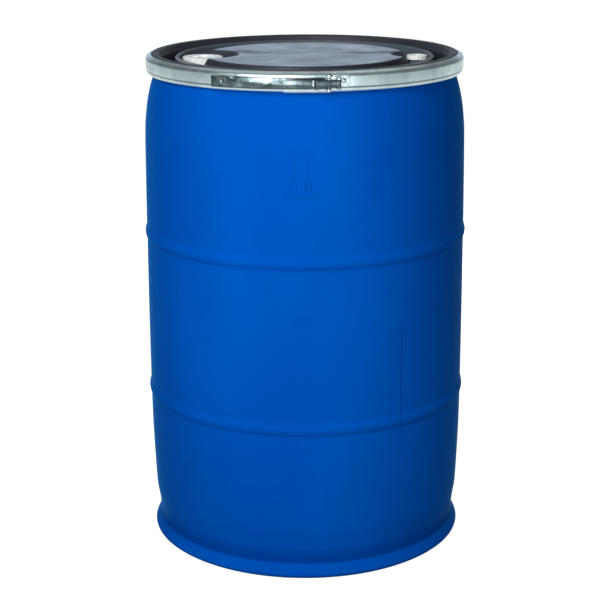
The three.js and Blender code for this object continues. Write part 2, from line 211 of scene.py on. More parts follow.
def raw_sweep(sections, azimuths):
    """A solid whose [radius, height] section changes from azimuth to azimuth, closed at both ends."""
    size = len(sections[0])
    verts = [(*polar(r, a), z) for section, a in zip(sections, azimuths) for r, z in section]
    faces = [tuple(range(size)), tuple(range(len(verts) - size, len(verts)))[::-1]]
    for j in range(len(azimuths) - 1):
        for k in range(size):
            n = (k + 1) % size
            faces.append((j * size + k, j * size + n, (j + 1) * size + n, (j + 1) * size + k))
    return verts, faces


def raw_prism(outline, low, high):
    """A plan outline stood up between two heights."""
    size = len(outline)
    verts = [(x, y, z) for z in (low, high) for x, y in outline]
    faces = [tuple(range(size))[::-1], tuple(range(size, 2 * size))]
    for k in range(size):
        n = (k + 1) % size
        faces.append((k, n, size + n, size + k))
    return verts, faces


def plate_section(r_in, r_out, low, high):
    return [(r_in, low), (r_out, low), (r_out, high), (r_in, high)]


def spread(low, high, steps):
    return [low + (high - low) * k / steps for k in range(steps + 1)]


def moved(raw, matrix):
    verts, faces = raw
    return [tuple(matrix @ Vector(v)) for v in verts], faces


def on_ring(azimuth, z):
    """Places a shape made about +Z so that +Z points out of the ring at an azimuth and height."""
    return (Matrix.Translation((0, 0, z)) @ Matrix.Rotation(azimuth, 4, "Z")
            @ Matrix.Rotation(math.pi / 2, 4, "X"))


def to_object(name, *raws):
    """One mesh object in metres from one or more closed solids."""
    verts, faces = [], []
    for raw_verts, raw_faces in raws:
        start = len(verts)
        verts += [tuple(c * MM for c in v) for v in raw_verts]
        faces += [tuple(start + i for i in f) for f in raw_faces]
    mesh = bpy.data.meshes.new(name)
    mesh.from_pydata(verts, [], faces)
    mesh.validate()
    bm = bmesh.new()
    bm.from_mesh(mesh)
    bmesh.ops.recalc_face_normals(bm, faces=bm.faces)
    bm.to_mesh(mesh)
    bm.free()
    piece = bpy.data.objects.new(name, mesh)
    bpy.context.scene.collection.objects.link(piece)
    return piece


def baked(piece):
    """Replaces a piece's mesh by what its modifiers make of it."""
    graph = bpy.context.evaluated_depsgraph_get()
    mesh = bpy.data.meshes.new_from_object(piece.evaluated_get(graph))
    piece.modifiers.clear()
    piece.data = mesh
    return piece


def boolean(piece, raws, operation="DIFFERENCE"):
    for raw in raws:
        tool = to_object("tool", raw)
        step = piece.modifiers.new("boolean", "BOOLEAN")
        step.operation = operation
        step.solver = "EXACT"
        step.object = tool
        baked(piece)
        bpy.data.objects.remove(tool)
    return piece


def bevelled(piece, width, angle=35):
    step = piece.modifiers.new("bevel", "BEVEL")
    step.width = width * MM
    step.segments = 2
    step.limit_method = "ANGLE"
    step.angle_limit = math.radians(angle)
    step.use_clamp_overlap = True
    return baked(piece)


def finished(piece, material, body, node, crease=38):
    """Shades a piece, gives it its material, body and slot, and hides the CAD node it stands for.

    A piece that spans two bodies passes None as its body and is attached to no body.
    """
    for polygon in piece.data.polygons:
        polygon.use_smooth = True
    piece.data.set_sharp_from_angle(angle=math.radians(crease))
    piece.data.materials.clear()
    piece.data.materials.append(material)
    if body:
        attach(piece, body)
    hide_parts(node)
    return piece


# ---------- materials ----------
class Nodes:
    """A small helper that writes one procedural material."""

    def __init__(self, name):
        self.material = bpy.data.materials.new(name)
        self.material.use_nodes = True
        self.tree = self.material.node_tree
        self.shader = self.tree.nodes["Principled BSDF"]
        self.where = self.tree.nodes.new("ShaderNodeTexCoord").outputs["Object"]

    def link(self, a, b):
        self.tree.links.new(a, b)

    def node(self, kind, **settings):
        made = self.tree.nodes.new(kind)
        for key, value in settings.items():
            if key in made.inputs:
                made.inputs[key].default_value = value
            else:
                setattr(made, key, value)
        return made

    def stretched(self, scale, rotation=(0, 0, 0)):
        mapping = self.node("ShaderNodeMapping")
        mapping.inputs["Scale"].default_value = scale
        mapping.inputs["Rotation"].default_value = rotation
        self.link(self.where, mapping.inputs["Vector"])
        return mapping.outputs["Vector"]

    def noise(self, scale, detail=3.0, roughness=0.5, vector=None):
        made = self.node("ShaderNodeTexNoise", Scale=scale, Detail=detail, Roughness=roughness)
        self.link(vector or self.where, made.inputs["Vector"])
        return made.outputs["Fac"]

    def ramp(self, value, low, high, to_low=0.0, to_high=1.0):
        made = self.node("ShaderNodeMapRange")
        for key, number in (("From Min", low), ("From Max", high), ("To Min", to_low), ("To Max", to_high)):
            made.inputs[key].default_value = number
        self.link(value, made.inputs["Value"])
        return made.outputs["Result"]

    def math(self, operation, a, b):
        made = self.node("ShaderNodeMath", operation=operation)
        for socket, value in zip(made.inputs, (a, b)):
            if isinstance(value, (int, float)):
                socket.default_value = value
            else:
                self.link(value, socket)
        return made.outputs[0]

    def window(self, value, low, high, soft_low, soft_high):
        """1 between two values, falling to 0 over a soft distance on either side."""
        return self.math("MULTIPLY", self.ramp(value, low - soft_low, low),
                         self.ramp(value, high, high + soft_high, 1.0, 0.0))

    def mix(self, factor, a, b):
        made = self.node("ShaderNodeMix", data_type="RGBA")
        self.link(factor, made.inputs["Factor"])
        for socket, value in ((made.inputs["A"], a), (made.inputs["B"], b)):
            if isinstance(value, tuple):
                socket.default_value = (*value, 1)
            else:
                self.link(value, socket)
        return made.outputs["Result"]

    def bump(self, height, strength, distance, chain=None):
        made = self.node("ShaderNodeBump", Strength=strength, Distance=distance)
        self.link(height, made.inputs["Height"])
        if chain:
            self.link(chain, made.inputs["Normal"])
        return made.outputs["Normal"]

    def position(self):
        """The x, y and z of the shaded point, in metres at rest."""
        parts = self.node("ShaderNodeSeparateXYZ")
        self.link(self.where, parts.inputs[0])
        return parts.outputs

    def distance(self, x, y):
        return self.math("SQRT", self.math("ADD", self.math("POWER", x, 2.0), self.math("POWER", y, 2.0)), 0)

    def ring_coordinates(self):
        """The position as (arc along the ring, radius, height), so that grain follows the hoop."""
        x, y, z = self.position()
        arc = self.math("MULTIPLY", self.math("ARCTAN2", x, self.math("MULTIPLY", y, -1.0)), RING_R * MM)
        radius = self.distance(x, y)
        joined = self.node("ShaderNodeCombineXYZ")
        for socket, value in zip(joined.inputs, (arc, radius, z)):
            self.link(value, socket)
        return joined.outputs[0]

    def set(self, **values):
        for key, value in values.items():
            socket = self.shader.inputs[key.replace("_", " ")]
            if isinstance(value, tuple):
                socket.default_value = (*value, 1)
            elif isinstance(value, (int, float)):
                socket.default_value = value
            else:
                self.link(value, socket)
        return self.material


def srgb(r, g, b):
    def linear(c):
        c /= 255
        return c / 12.92 if c <= 0.04045 else ((c + 0.055) / 1.055) ** 2.4
    return tuple(linear(c) for c in (r, g, b))


# What the materials paint, as (from, to) in metres, painted shade and painted light among them. The painted
# shade under a hoop is measured down from the hoop's middle.
CHIME_SHADE = (0.0305, 0.036)
HOOP_SHADE = (0.0092, 0.0078)
RUB_X, RUB_Z = (0.1705, 0.1712), (0.27, 0.46)
DISC_EDGE, DISC_FACE = (0.1835, 0.1855), (0.9205, 0.9212)
GROOVE_LIGHT_RADII, GROOVE_LIGHT_FLOOR = (0.1945, GROOVE_OUT * MM), (0.9, 0.904)
RIDGE_HIGHLIGHT_RADII, RIDGE_HIGHLIGHT_TOP = (0.2366, 0.2388), (0.917, 0.919)
CREASE_SHADE = (0.8978, 0.9003)


def blue_plastic():
    """Satin blow-moulded polyethylene: orange peel, flow streaks, light scuffs, painted shade above the chime
    and under each hoop, and one rub line.
    """
    n = Nodes("blue_hdpe")
    flow = n.noise(5.0, 2.0, 0.5, n.stretched((1.0, 1.0, 0.35)))
    cloud = n.noise(22.0, 3.0, 0.6)
    tone = n.mix(n.ramp(flow, 0.35, 0.65), srgb(0, 70, 161), srgb(0, 77, 170))
    tone = n.mix(n.ramp(cloud, 0.55, 0.8, 0.0, 0.35), tone, srgb(0, 65, 151))
    scuffs = n.ramp(n.noise(60.0, 6.0, 0.75, n.stretched((1.0, 1.0, 0.2), (0.2, 0.1, 0))), 0.66, 0.74)
    patches = n.ramp(n.noise(7.0, 2.0), 0.55, 0.7)
    scuff = n.math("MULTIPLY", scuffs, patches)
    tone = n.mix(n.math("MULTIPLY", scuff, 0.3), tone, srgb(14, 98, 178))
    x, y, z = n.position()
    # Painted shade: the wall is darkened in a band at the chime's top, fading upwards, and in a thin band
    # under each hoop's bulge.
    painted_shade = n.window(z, *CHIME_SHADE, 0.0012, 0.026)
    for hoop in HOOPS:
        below = n.window(z, *(hoop * MM - drop for drop in HOOP_SHADE), 0.003, 0.003)
        painted_shade = n.math("MAXIMUM", painted_shade, n.math("MULTIPLY", below, 0.4))
    tone = n.mix(n.math("MULTIPLY", painted_shade, 0.7), tone, srgb(0, 44, 120))
    drift = n.math("MULTIPLY", n.math("SUBTRACT", n.noise(8.0, 3.0), 0.5), 0.004)
    line = n.window(n.math("ADD", x, drift), *RUB_X, 0.0008, 0.0014)
    rub = n.math("MULTIPLY", line, n.window(z, *RUB_Z, 0.05, 0.03))
    rub = n.math("MULTIPLY", rub, n.ramp(y, -0.1, 0.0, 0.6, 0.0))
    tone = n.mix(rub, tone, srgb(0, 44, 116))
    rough = n.ramp(n.noise(40.0, 4.0, 0.6), 0.3, 0.7, 0.40, 0.47)
    rough = n.math("ADD", rough, n.math("MULTIPLY", scuff, 0.12))
    peel = n.bump(n.noise(650.0, 2.0, 0.5), 0.10, 0.0004)
    waves = n.bump(n.noise(9.0, 2.0, 0.4), 0.25, 0.0012, peel)
    return n.set(Base_Color=tone, Roughness=rough, Normal=waves, IOR=1.3, Specular_IOR_Level=0.002,
                 Specular_Tint=(0.1, 0.5, 1.0), Sheen_Weight=0.35, Sheen_Roughness=0.3,
                 Sheen_Tint=(0.0, 0.4, 0.7))


def black_plastic():
    """Black polyethylene, matt as moulded: a smooth disc with a streaked painted sheen, painted light in the
    groove, a painted highlight on the ridge.
    """
    n = Nodes("black_hdpe")
    x, y, z = n.position()
    radius = n.distance(x, y)
    disc = n.math("MULTIPLY", n.ramp(radius, *DISC_EDGE, 1.0, 0.0), n.ramp(z, *DISC_FACE))
    tone = n.mix(n.ramp(n.noise(30.0, 4.0), 0.4, 0.7), srgb(37, 41, 50), srgb(47, 52, 62))
    # Painted sheen: the disc's face is made a lighter, bluish grey in streaks.
    streaks = n.noise(7.0, 2.0, 0.5, n.stretched((0.5, 1.0, 1.0)))
    painted_sheen = n.math("MULTIPLY", disc, n.ramp(streaks, 0.3, 0.75, 0.35, 0.6))
    tone = n.mix(painted_sheen, tone, srgb(94, 107, 136))
    # Painted light: inside the groove between the disc and the ridge, the black is raised to a paler grey.
    between = n.window(radius, *GROOVE_LIGHT_RADII, 0.001, 0.001)
    groove = n.math("MULTIPLY", between, n.ramp(z, *GROOVE_LIGHT_FLOOR, 0.0, 0.8))
    tone = n.mix(groove, tone, srgb(84, 94, 104))
    # Painted highlight: a pale line round the top of the ridge's outer edge.
    edge = n.window(radius, *RIDGE_HIGHLIGHT_RADII, 0.0006, 0.0006)
    ridge_highlight = n.math("MULTIPLY", edge, n.ramp(z, *RIDGE_HIGHLIGHT_TOP, 0.0, 0.7))
    tone = n.mix(ridge_highlight, tone, srgb(158, 160, 170))
    specks = n.ramp(n.noise(150.0, 5.0, 0.8), 0.64, 0.8, 0.0, 0.2)
    dust = n.math("MULTIPLY", specks, n.ramp(disc, 0, 1, 1, 0.1))
    tone = n.mix(dust, tone, srgb(85, 88, 96))
    matt = n.ramp(n.noise(14.0, 4.0, 0.6), 0.3, 0.7, 0.50, 0.62)
    rough = n.math("SUBTRACT", matt, n.math("MULTIPLY", disc, 0.24))
    grain = n.bump(n.noise(900.0, 2.0), 0.12, 0.0003)
    return n.set(Base_Color=tone, Roughness=rough, Normal=grain, IOR=1.42)


def natural_plastic():
    """Unpigmented polyethylene: milky, a little see-through, with faint yellowing."""
    n = Nodes("natural_hdpe")
    tone = n.mix(n.ramp(n.noise(70.0, 4.0), 0.4, 0.7), srgb(236, 240, 238), srgb(220, 225, 222))
    rough = n.ramp(n.noise(50.0, 3.0), 0.3, 0.7, 0.42, 0.55)
    grain = n.bump(n.noise(500.0, 2.0), 0.15, 0.0003)
    n.shader.inputs["Subsurface Weight"].default_value = 0.25
    n.shader.inputs["Subsurface Radius"].default_value = (0.004, 0.004, 0.003)
    return n.set(Base_Color=tone, Roughness=rough, Normal=grain)


def black_rubber():
    """Matt seal rubber."""
    n = Nodes("black_rubber")
    tone = n.mix(n.noise(80.0, 4.0), srgb(24, 24, 26), srgb(38, 38, 40))
    grain = n.bump(n.noise(1200.0, 3.0), 0.3, 0.0004)
    return n.set(Base_Color=tone, Roughness=0.8, Normal=grain)


def zinc(name, light, dark, rough_low, rough_high, grain_strength, spangle_share):
    """Zinc-coated sheet: spangle, rolling lines along the hoop, stains, and painted shade at the ring's
    crease.
    """
    n = Nodes(name)
    along = n.ring_coordinates()
    stretch = n.node("ShaderNodeMapping")
    stretch.inputs["Scale"].default_value = (4.0, 60.0, 900.0)
    n.link(along, stretch.inputs["Vector"])
    lines = n.noise(1.0, 3.0, 0.6, stretch.outputs["Vector"])
    spangle = n.node("ShaderNodeTexVoronoi", Scale=130.0)
    n.link(n.where, spangle.inputs["Vector"])
    grey = n.node("ShaderNodeRGBToBW")
    n.link(spangle.outputs["Color"], grey.inputs[0])
    stains = n.noise(18.0, 4.0, 0.6)
    tone = n.mix(n.ramp(stains, 0.35, 0.7), light, dark)
    tone = n.mix(n.ramp(grey.outputs[0], 0.2, 0.8, 0.0, spangle_share), tone, dark)
    # Painted shade: a dark line round the zinc at the height of the ring's crease, under its face.
    crease = n.window(n.position()[2], *CREASE_SHADE, 0.0008, 0.0006)
    tone = n.mix(n.math("MULTIPLY", crease, 0.75), tone, srgb(66, 78, 82))
    wear = n.math("ADD", n.math("MULTIPLY", lines, 0.6), n.math("MULTIPLY", grey.outputs[0], 0.4))
    rough = n.ramp(wear, 0.3, 0.7, rough_low, rough_high)
    normal = n.bump(lines, grain_strength, 0.0002)
    normal = n.bump(n.noise(60.0, 3.0), 0.2, 0.0005, normal)
    return n.set(Base_Color=tone, Metallic=1.0, Roughness=rough, Normal=normal)


BLUE = blue_plastic()
BLACK = black_plastic()
NATURAL = natural_plastic()
RUBBER = black_rubber()
# The lever's zinc gets a very dark tone: a painted dark reflection standing in for dark surroundings that it
# mirrors.
LEVER_ZINC = zinc("shade_darkened_zinc", srgb(136, 152, 154), srgb(44, 55, 60), 0.12, 0.30, 0.3, 0.65)
LINK_ZINC = zinc("dark_zinc", srgb(112, 126, 130), srgb(40, 50, 56), 0.16, 0.36, 0.3, 0.6)
SHEET_ZINC = zinc("galvanised_sheet", srgb(194, 211, 212), srgb(160, 178, 182), 0.28, 0.44, 0.25, 0.3)
BRIGHT_ZINC = zinc("bright_zinc", srgb(216, 226, 224), srgb(120, 134, 138), 0.12, 0.30, 0.12, 0.75)


# ---------- drum body ----------
NECK_R = 278.6
FOOT_Z, SHOULDER_Z = 22, 888
WALL = [
    (293.3, FOOT_Z), (289.2, CHIME_TOP), (288.0, 42), (291, 69), (294.4, 91), (297.3, 152), (299.3, 212),
    (WALL_R, 265), (300.4, 390), (WALL_R, 550), (299.4, 650), (298.3, 747), (297, 795), (292.7, 835),
    (287.2, 862), (281.9, 880), (NECK_R, SHOULDER_Z),
]
HOOP_HALF = 14.0
FOOT = [(284, 0), (287.6, 0), (293, 3.4), (297.3, 7), (298.5, 11), (297, 14.6)]
FLANGE_R = 288.0
FLANGE_LOW = 891.7
FLANGE_TOP = 904.5
DRUM_WALL = 4.5
SEAM_AZIMUTHS = (math.radians(30), math.radians(210))
RELIEF_ROOT = -1.2
SEAM_HEIGHT = 0.12
MARK_HEIGHT = 0.9
MARK_TOP = 794.0
MARK_ARROWS = (-20.4, 4.7)
MARK_BASE = (-33, 24)


def wall_radius(z):
    """Outer radius of the drum's wall, with its hoops."""
    swell = 0
    for hoop in HOOPS:
        t = abs(z - hoop) / HOOP_HALF
        if t < 1:
            swell = (HOOP_R - WALL_R - 0.1) * (0.5 + 0.5 * math.cos(math.pi * t)) ** 0.8
    return hermite(WALL, z) + swell


def drum_outline():
    wall = [(wall_radius(z), z) for z in spread(FOOT_Z, SHOULDER_Z, 216)]
    foot = soften(FOOT, [0, 2, 2, 2.5, 2, 2], 3, closed=False)
    slope_top = FLANGE_LOW + FLANGE_R - NECK_R
    mouth = soften([
        (NECK_R, 889.5), (NECK_R, FLANGE_LOW), (FLANGE_R, slope_top), (FLANGE_R, FLANGE_TOP),
        (NECK_R, FLANGE_TOP), (NECK_R, LIP_TOP), (NECK_R - DRUM_WALL, LIP_TOP), (NECK_R - DRUM_WALL, 884),
    ], [0, 1, 1, 1, 1, 1.2, 1.2, 0], 3, closed=False)
    inner = soften([(288, 838), (294, 760), (295.9, 560), (295.9, 340), (294.6, 215), (289.5, 88),
                    (283.5, 42), (286, 20), (280, 13)], 18, 4)
    base = soften([(0, 12), (0, 7), (236, 7), (240, 5.5), (256, 6), (266, 0)], [0, 0, 2, 2, 4, 2], 3,
                  closed=False)
    return base[2:] + foot + wall + mouth + inner + base[:2]


def drum_waviness(azimuth, radius, z):
    """The blow-moulded wall is never quite round: dips of a few tenths of a millimetre."""
    if radius < 200 or z > FLANGE_LOW - 6 or z < 24:
        return radius, z
    dip = 0.5 + 0.5 * noise.noise(Vector((1.3 * math.sin(azimuth), 1.3 * math.cos(azimuth), z / 260)))
    return radius - 0.5 * dip, z


def relief(points, width, height):
    """A raised stroke on the wall through (arc, height) points, rooted in it; the arc starts at the front."""
    count = len(points)
    sections = []
    for i, point in enumerate(points):
        ahead = Vector(points[min(i + 1, count - 1)]) - Vector(points[max(i - 1, 0)])
        side = Vector((-ahead.y, ahead.x)).normalized()
        section = []
        for reach, lift in ((-0.5, RELIEF_ROOT), (-0.32, height), (0.32, height), (0.5, RELIEF_ROOT)):
            s, z = Vector(point) + side * width * reach
            section.append((*polar(wall_radius(z) + lift, s / WALL_R), z))
        sections.append(section)
    verts = [v for section in sections for v in section]
    faces = [(0, 1, 2, 3), tuple(range(len(verts) - 1, len(verts) - 5, -1))]
    for j in range(count - 1):
        for k in range(4):
            n = (k + 1) % 4
            faces.append((4 * j + k, 4 * j + n, 4 * j + 4 + n, 4 * j + 4 + k))
    return verts, faces


def way_up_mark():
    """Two arrows, each standing on a little trestle, over a double base line: the usual this-way-up mark."""
    strokes = []
    for x in MARK_ARROWS:
        for side in (-1, 1):
            strokes.append([(x, MARK_TOP), (x + side * 8.5, MARK_TOP - 9.5)])
            strokes.append([(x, MARK_TOP - 47), (x + side * 6, MARK_TOP - 54)])
            strokes.append([(x + side * 5, MARK_TOP - 54), (x + side * 5, MARK_TOP - 70)])
        strokes.append([(x, MARK_TOP - 10), (x, MARK_TOP - 48)])
    bars = [relief(stroke, 3.0, MARK_HEIGHT) for stroke in strokes]
    for drop, width in ((75, 3.0), (81, 1.8)):
        bars.append(relief([(s, MARK_TOP - drop) for s in spread(*MARK_BASE, 8)], width, MARK_HEIGHT))
    return bars


def build_drum():
    seams = [relief([(WALL_R * a, z) for z in spread(50, 872, 120)], 1.6, SEAM_HEIGHT) for a in SEAM_AZIMUTHS]
    piece = to_object("drum_shell", raw_turned(drum_outline(), 256, drum_waviness), *seams, *way_up_mark())
    return finished(piece, BLUE, "drum", "drum_body", crease=50)


# ---------- lid ----------
LID_TOP = [
    (0, DISC_Z), (187, DISC_Z), (190, RIDGE_Z), (GROOVE_OUT, RIDGE_Z), (238.5, 918), (241, 892.5),
    (244, 889.5), (261, 889.5), (264, 892.5), (265.5, 915), (267, 917.5), (269.5, 925.3), (271.5, CREST_Z),
    (280.5, CREST_Z), (281.7, 926), (281.9, 923.8),
]
LID_RIM = [
    (288.4, 920.5), (288.4, 905), (284.4, 905), (283.2, 918), (282, 922.4), (270.9, 922.4), (270.2, 909),
]
LID_UNDER = [
    (268.2, 888), (264.5, 885.5), (240.5, 885.5), (237, 888), (235, 897), (232.5, 899), (188, 899),
    (185.5, 901), (183.5, 914.5), (181, DISC_UNDER), (0, DISC_UNDER),
]
BUNG_GROOVE = [
    (DISC_R, 935), (DISC_R, 922.2), (187.3, 920), (189.5, 906), (192.5, GROOVE_Z), (226.5, GROOVE_Z),
    (229.5, 906), (231.2, 918.6), (233.0, 921), (233.0, 935),
]

# The round dish about each bung (its radius at the groove's floor and at the disc), and the boss in its
# middle with the height of the seat on which the bung's gasket lies.
POCKETS = {
    "large": {"dish": (43, 68), "boss": 35, "seat": GROOVE_Z},
    "small": {"dish": (24, 50), "boss": 18, "seat": 909.5},
}


def bung_size(key):
    low, high = box_mm(f"{key}_bung")
    return {
        "centre": ((low[0] + high[0]) / 2, (low[1] + high[1]) / 2),
        "head": (high[0] - low[0]) / 2,
        "top": high[2],
        "low": low[2],
        "thread": 29.8 if key == "large" else 13.2,
        "under": POCKETS[key]["seat"] + 2.3,
    }


def cylinder(centre, radius, low, high, steps=96):
    outline = [(0, low), (radius, low), (radius, high), (0, high)]
    return moved(raw_turned(outline, steps), Matrix.Translation((*centre, 0)))


def dish(centre, radii, low, high, inside, lip=1.2):
    """A cone about a bung, kept within a radius of the drum's axis, with a soft foot and a soft lip."""
    r0, r1 = radii
    outline = [(0, low), (r0, low), (r1, high), (0, high)]
    if lip:
        mouth = r1 + 2 * lip
        outline = soften(outline[:3] + [(mouth, high + lip * 0.6), (mouth, high + 14), (0, high + 14)],
                         [0, 5, 3, 0, 0, 0], 6, closed=False)
    cone = to_object("cone", moved(raw_turned(outline, 120), Matrix.Translation((*centre, 0))))
    ring = [(inside, low - 8), (340, low - 8), (340, high + 20), (inside, high + 20)]
    boolean(cone, [raw_turned(ring, 240)])
    verts = [tuple(c / MM for c in v.co) for v in cone.data.vertices]
    faces = [tuple(p.vertices) for p in cone.data.polygons]
    bpy.data.objects.remove(cone)
    return verts, faces


def build_lid():
    top_round = [0, 0, 0, 1.0, 1.2, 2, 2, 2, 2, 0.8, 0.8, 1, 1.4, 1.2, 0.4, 0.4]
    under_round = [1, 2, 2, 2, 2, 1, 1, 1.5, 1, 1, 0]
    outline = (soften(LID_TOP, top_round, 4, closed=False) + soften(LID_RIM, 0.6, 3, closed=False)
               + soften(LID_UNDER, under_round, 3, closed=False))
    piece = to_object("lid_moulding", raw_turned(outline, 240))
    groove = soften(BUNG_GROOVE, [0, 1.6, 1.6, 1.5, 2.5, 2.5, 1.5, 1.2, 1.2, 0], 4, closed=False)
    cups, pockets, bosses, seats, holes = [], [raw_turned(groove, 240)], [], [], []
    for key, pocket in POCKETS.items():
        size = bung_size(key)
        centre, seat, boss_r = size["centre"], pocket["seat"], pocket["boss"]
        foot_r, mouth_r = pocket["dish"]
        cups.append(dish(centre, (foot_r + 4, mouth_r + 4), 898.7, DISC_UNDER + 1, 233, lip=0))
        pockets.append(dish(centre, (foot_r, mouth_r), GROOVE_Z + 0.02, DISC_Z, 230.8))
        bosses.append(cylinder(centre, boss_r, size["low"] - 1, GROOVE_Z - 2, steps=64))
        if seat > GROOVE_Z:
            seats.append(cylinder(centre, boss_r - 0.5, GROOVE_Z - 3, seat, steps=64))
        holes.append(cylinder(centre, size["thread"] + GAP, size["low"] - 3, seat + 1, steps=64))
    boolean(piece, cups, "UNION")
    boolean(piece, pockets)
    boolean(piece, bosses + seats, "UNION")
    boolean(piece, holes)
    return finished(piece, BLACK, "lid", "lid", crease=30)


def build_lid_gasket():
    low, high = box_mm("lid_gasket")
    outline = soften(plate_section(271.3, high[0], low[2], high[2]), 1.2, 3)
    piece = to_object("lid_seal_ring", raw_turned(outline, 192))
    return finished(piece, RUBBER, "lid", "lid_gasket")


# ---------- bungs ----------
# The recess for the wrench (radius, depth), the thread's pitch, and the grip scallops round the head.
BUNGS = {
    "large": {"recess": (22, 3.3), "pitch": 2.209, "scallops": 24},
    "small": {"recess": (9.5, 3.0), "pitch": 1.814, "scallops": 16},
}


def build_bung(key):
    size = bung_size(key)
    head, top, low, thread, under = (size[name] for name in ("head", "top", "low", "thread", "under"))
    recess_r, recess = BUNGS[key]["recess"]
    pitch, scallops = BUNGS[key]["pitch"], BUNGS[key]["scallops"]
    outline = soften([
        (0, top - recess), (recess_r, top - recess), (recess_r + 0.5, top), (head, top), (head, under),
        (thread, under),
    ], [0, 0.8, 0.6, 1.8, 0.6, 0.3], 3, closed=False)
    turns = int((under - low - 3) / pitch)
    for k in range(turns):
        z = under - 2 - k * pitch
        outline += [(thread, z), (thread, z - 0.35 * pitch), (thread - 0.9, z - 0.5 * pitch),
                    (thread - 0.9, z - 0.85 * pitch)]
    outline += soften([(thread - 0.9, low), (thread - 3.2, low), (thread - 3.2, top - recess - 3),
                       (0, top - recess - 3)], [0.4, 0.4, 1, 0], 3, closed=False)

    def scalloped(a, r, z):
        if r > head - 0.6 and under + 0.3 < z < top - 0.3:
            return r - 0.7 * (0.5 - 0.5 * math.cos(scallops * a)), z
        return r, z

    solids = [raw_turned(outline, scallops * 8, scalloped)]
    wide = recess_r * 0.26
    for quarter in range(4):
        lug = [(recess_r * 0.42, -wide / 2), (recess_r + 0.2, -wide / 2), (recess_r + 0.2, wide / 2),
               (recess_r * 0.42, wide / 2)]
        turn = Matrix.Rotation(quarter * math.pi / 2 + math.pi / 4, 4, "Z")
        solids.append(moved(raw_prism(soften(lug, 0.8, 3), top - recess - 0.2, top - 0.7), turn))
    place = Matrix.Translation((*size["centre"], 0))
    piece = to_object(f"{key}_bung_plug", *[moved(s, place) for s in solids])
    return finished(piece, NATURAL, f"{key}_bung", f"{key}_bung", crease=40)


def build_bung_gasket(key):
    node = f"{key}_bung_gasket"
    low, high = box_mm(node)
    centre = ((low[0] + high[0]) / 2, (low[1] + high[1]) / 2)
    outer = (high[0] - low[0]) / 2
    inner = bung_size(key)["thread"] + 0.4
    outline = soften(plate_section(inner, outer, low[2], high[2]), 0.5, 3)
    ring = moved(raw_turned(outline, 96), Matrix.Translation((*centre, 0)))
    piece = to_object(f"{key}_bung_seal_ring", ring)
    return finished(piece, RUBBER, f"{key}_bung_seal", node)


# ---------- closure ring ----------
def build_band():
    path = soften(BAND_PATH, BAND_ROUND, 6, closed=False)
    section = strip(path, 0, SHEET)
    start = azimuth_of(BAND_GAP_X[1])
    finish = azimuth_of(BAND_GAP_X[0]) + 2 * math.pi
    azimuths = spread(start, finish, 300)
    piece = bevelled(to_object("closure_hoop", raw_sweep([section] * len(azimuths), azimuths)), 0.3)
    finished(piece, SHEET_ZINC, None, "closure_band")
    hinge = Vector(joint_of("band_opening")["pos_m"])
    hinge.z = 0
    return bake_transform(piece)


def joint_of(name):
    return next(j for j in frame["joints"] if j["name"] == name)


def ear_outline(pin_x, root_r, half):
    """Plan of a lug that reaches from a plate to a vertical pin and rounds it."""
    a = azimuth_of(pin_x, PIN_CIRCLE)
    pin, root = Vector(polar(PIN_CIRCLE, a)), Vector(polar(root_r, a))
    side = Vector((math.cos(a), math.sin(a))) * half
    arc = [pin + Vector((math.cos(t), math.sin(t))) * half for t in spread(a + math.pi, a + 2 * math.pi, 14)]
    return [tuple(root - side)] + [tuple(p) for p in arc] + [tuple(root + side)]


def pin_hole(pin_x):
    return cylinder(polar(PIN_CIRCLE, azimuth_of(pin_x, PIN_CIRCLE)), PIN_HOLE, 880, 940, steps=32)


def rivet_hole(x, z):
    outline = [(0, 284), (2.5, 284), (2.5, 298), (0, 298)]
    return moved(raw_turned(outline, 24), on_ring(azimuth_of(x), z))


BRACKET_RIVET_X = (-28, 4)


def build_lever_bracket():
    path = soften([(285.5, 892.0)] + BAND_PATH[1:-1] + [(286, 924.5)], BAND_ROUND, 6, closed=False)
    section = strip(path, -GAP - SHEET, -GAP)
    azimuths = spread(azimuth_of(-36), azimuth_of(44.5), 32)
    piece = to_object("lever_bracket_plate", raw_sweep([section] * len(azimuths), azimuths))
    play = 0.6
    low_ear = (LEVER_LOW[2] - play - SHEET, LEVER_LOW[2] - play)
    high_ear = (LEVER_HIGH[2] + play, LEVER_HIGH[2] + play + SHEET)
    boolean(piece, [raw_prism(ear_outline(PIVOT_X, 288.15, 4.6), *low_ear),
                    raw_prism(ear_outline(PIVOT_X, PLATE_R + 0.7, 4.6), *high_ear)], "UNION")
    boolean(piece, [pin_hole(PIVOT_X)] + [rivet_hole(x, RIVET_HEIGHT) for x in BRACKET_RIVET_X])
    bevelled(piece, 0.22)
    return finished(piece, SHEET_ZINC, "closure_ring", "lever_bracket")


SEAL_X, SEAL_RIVET_X, SEAL_Z = -133, -141, 908


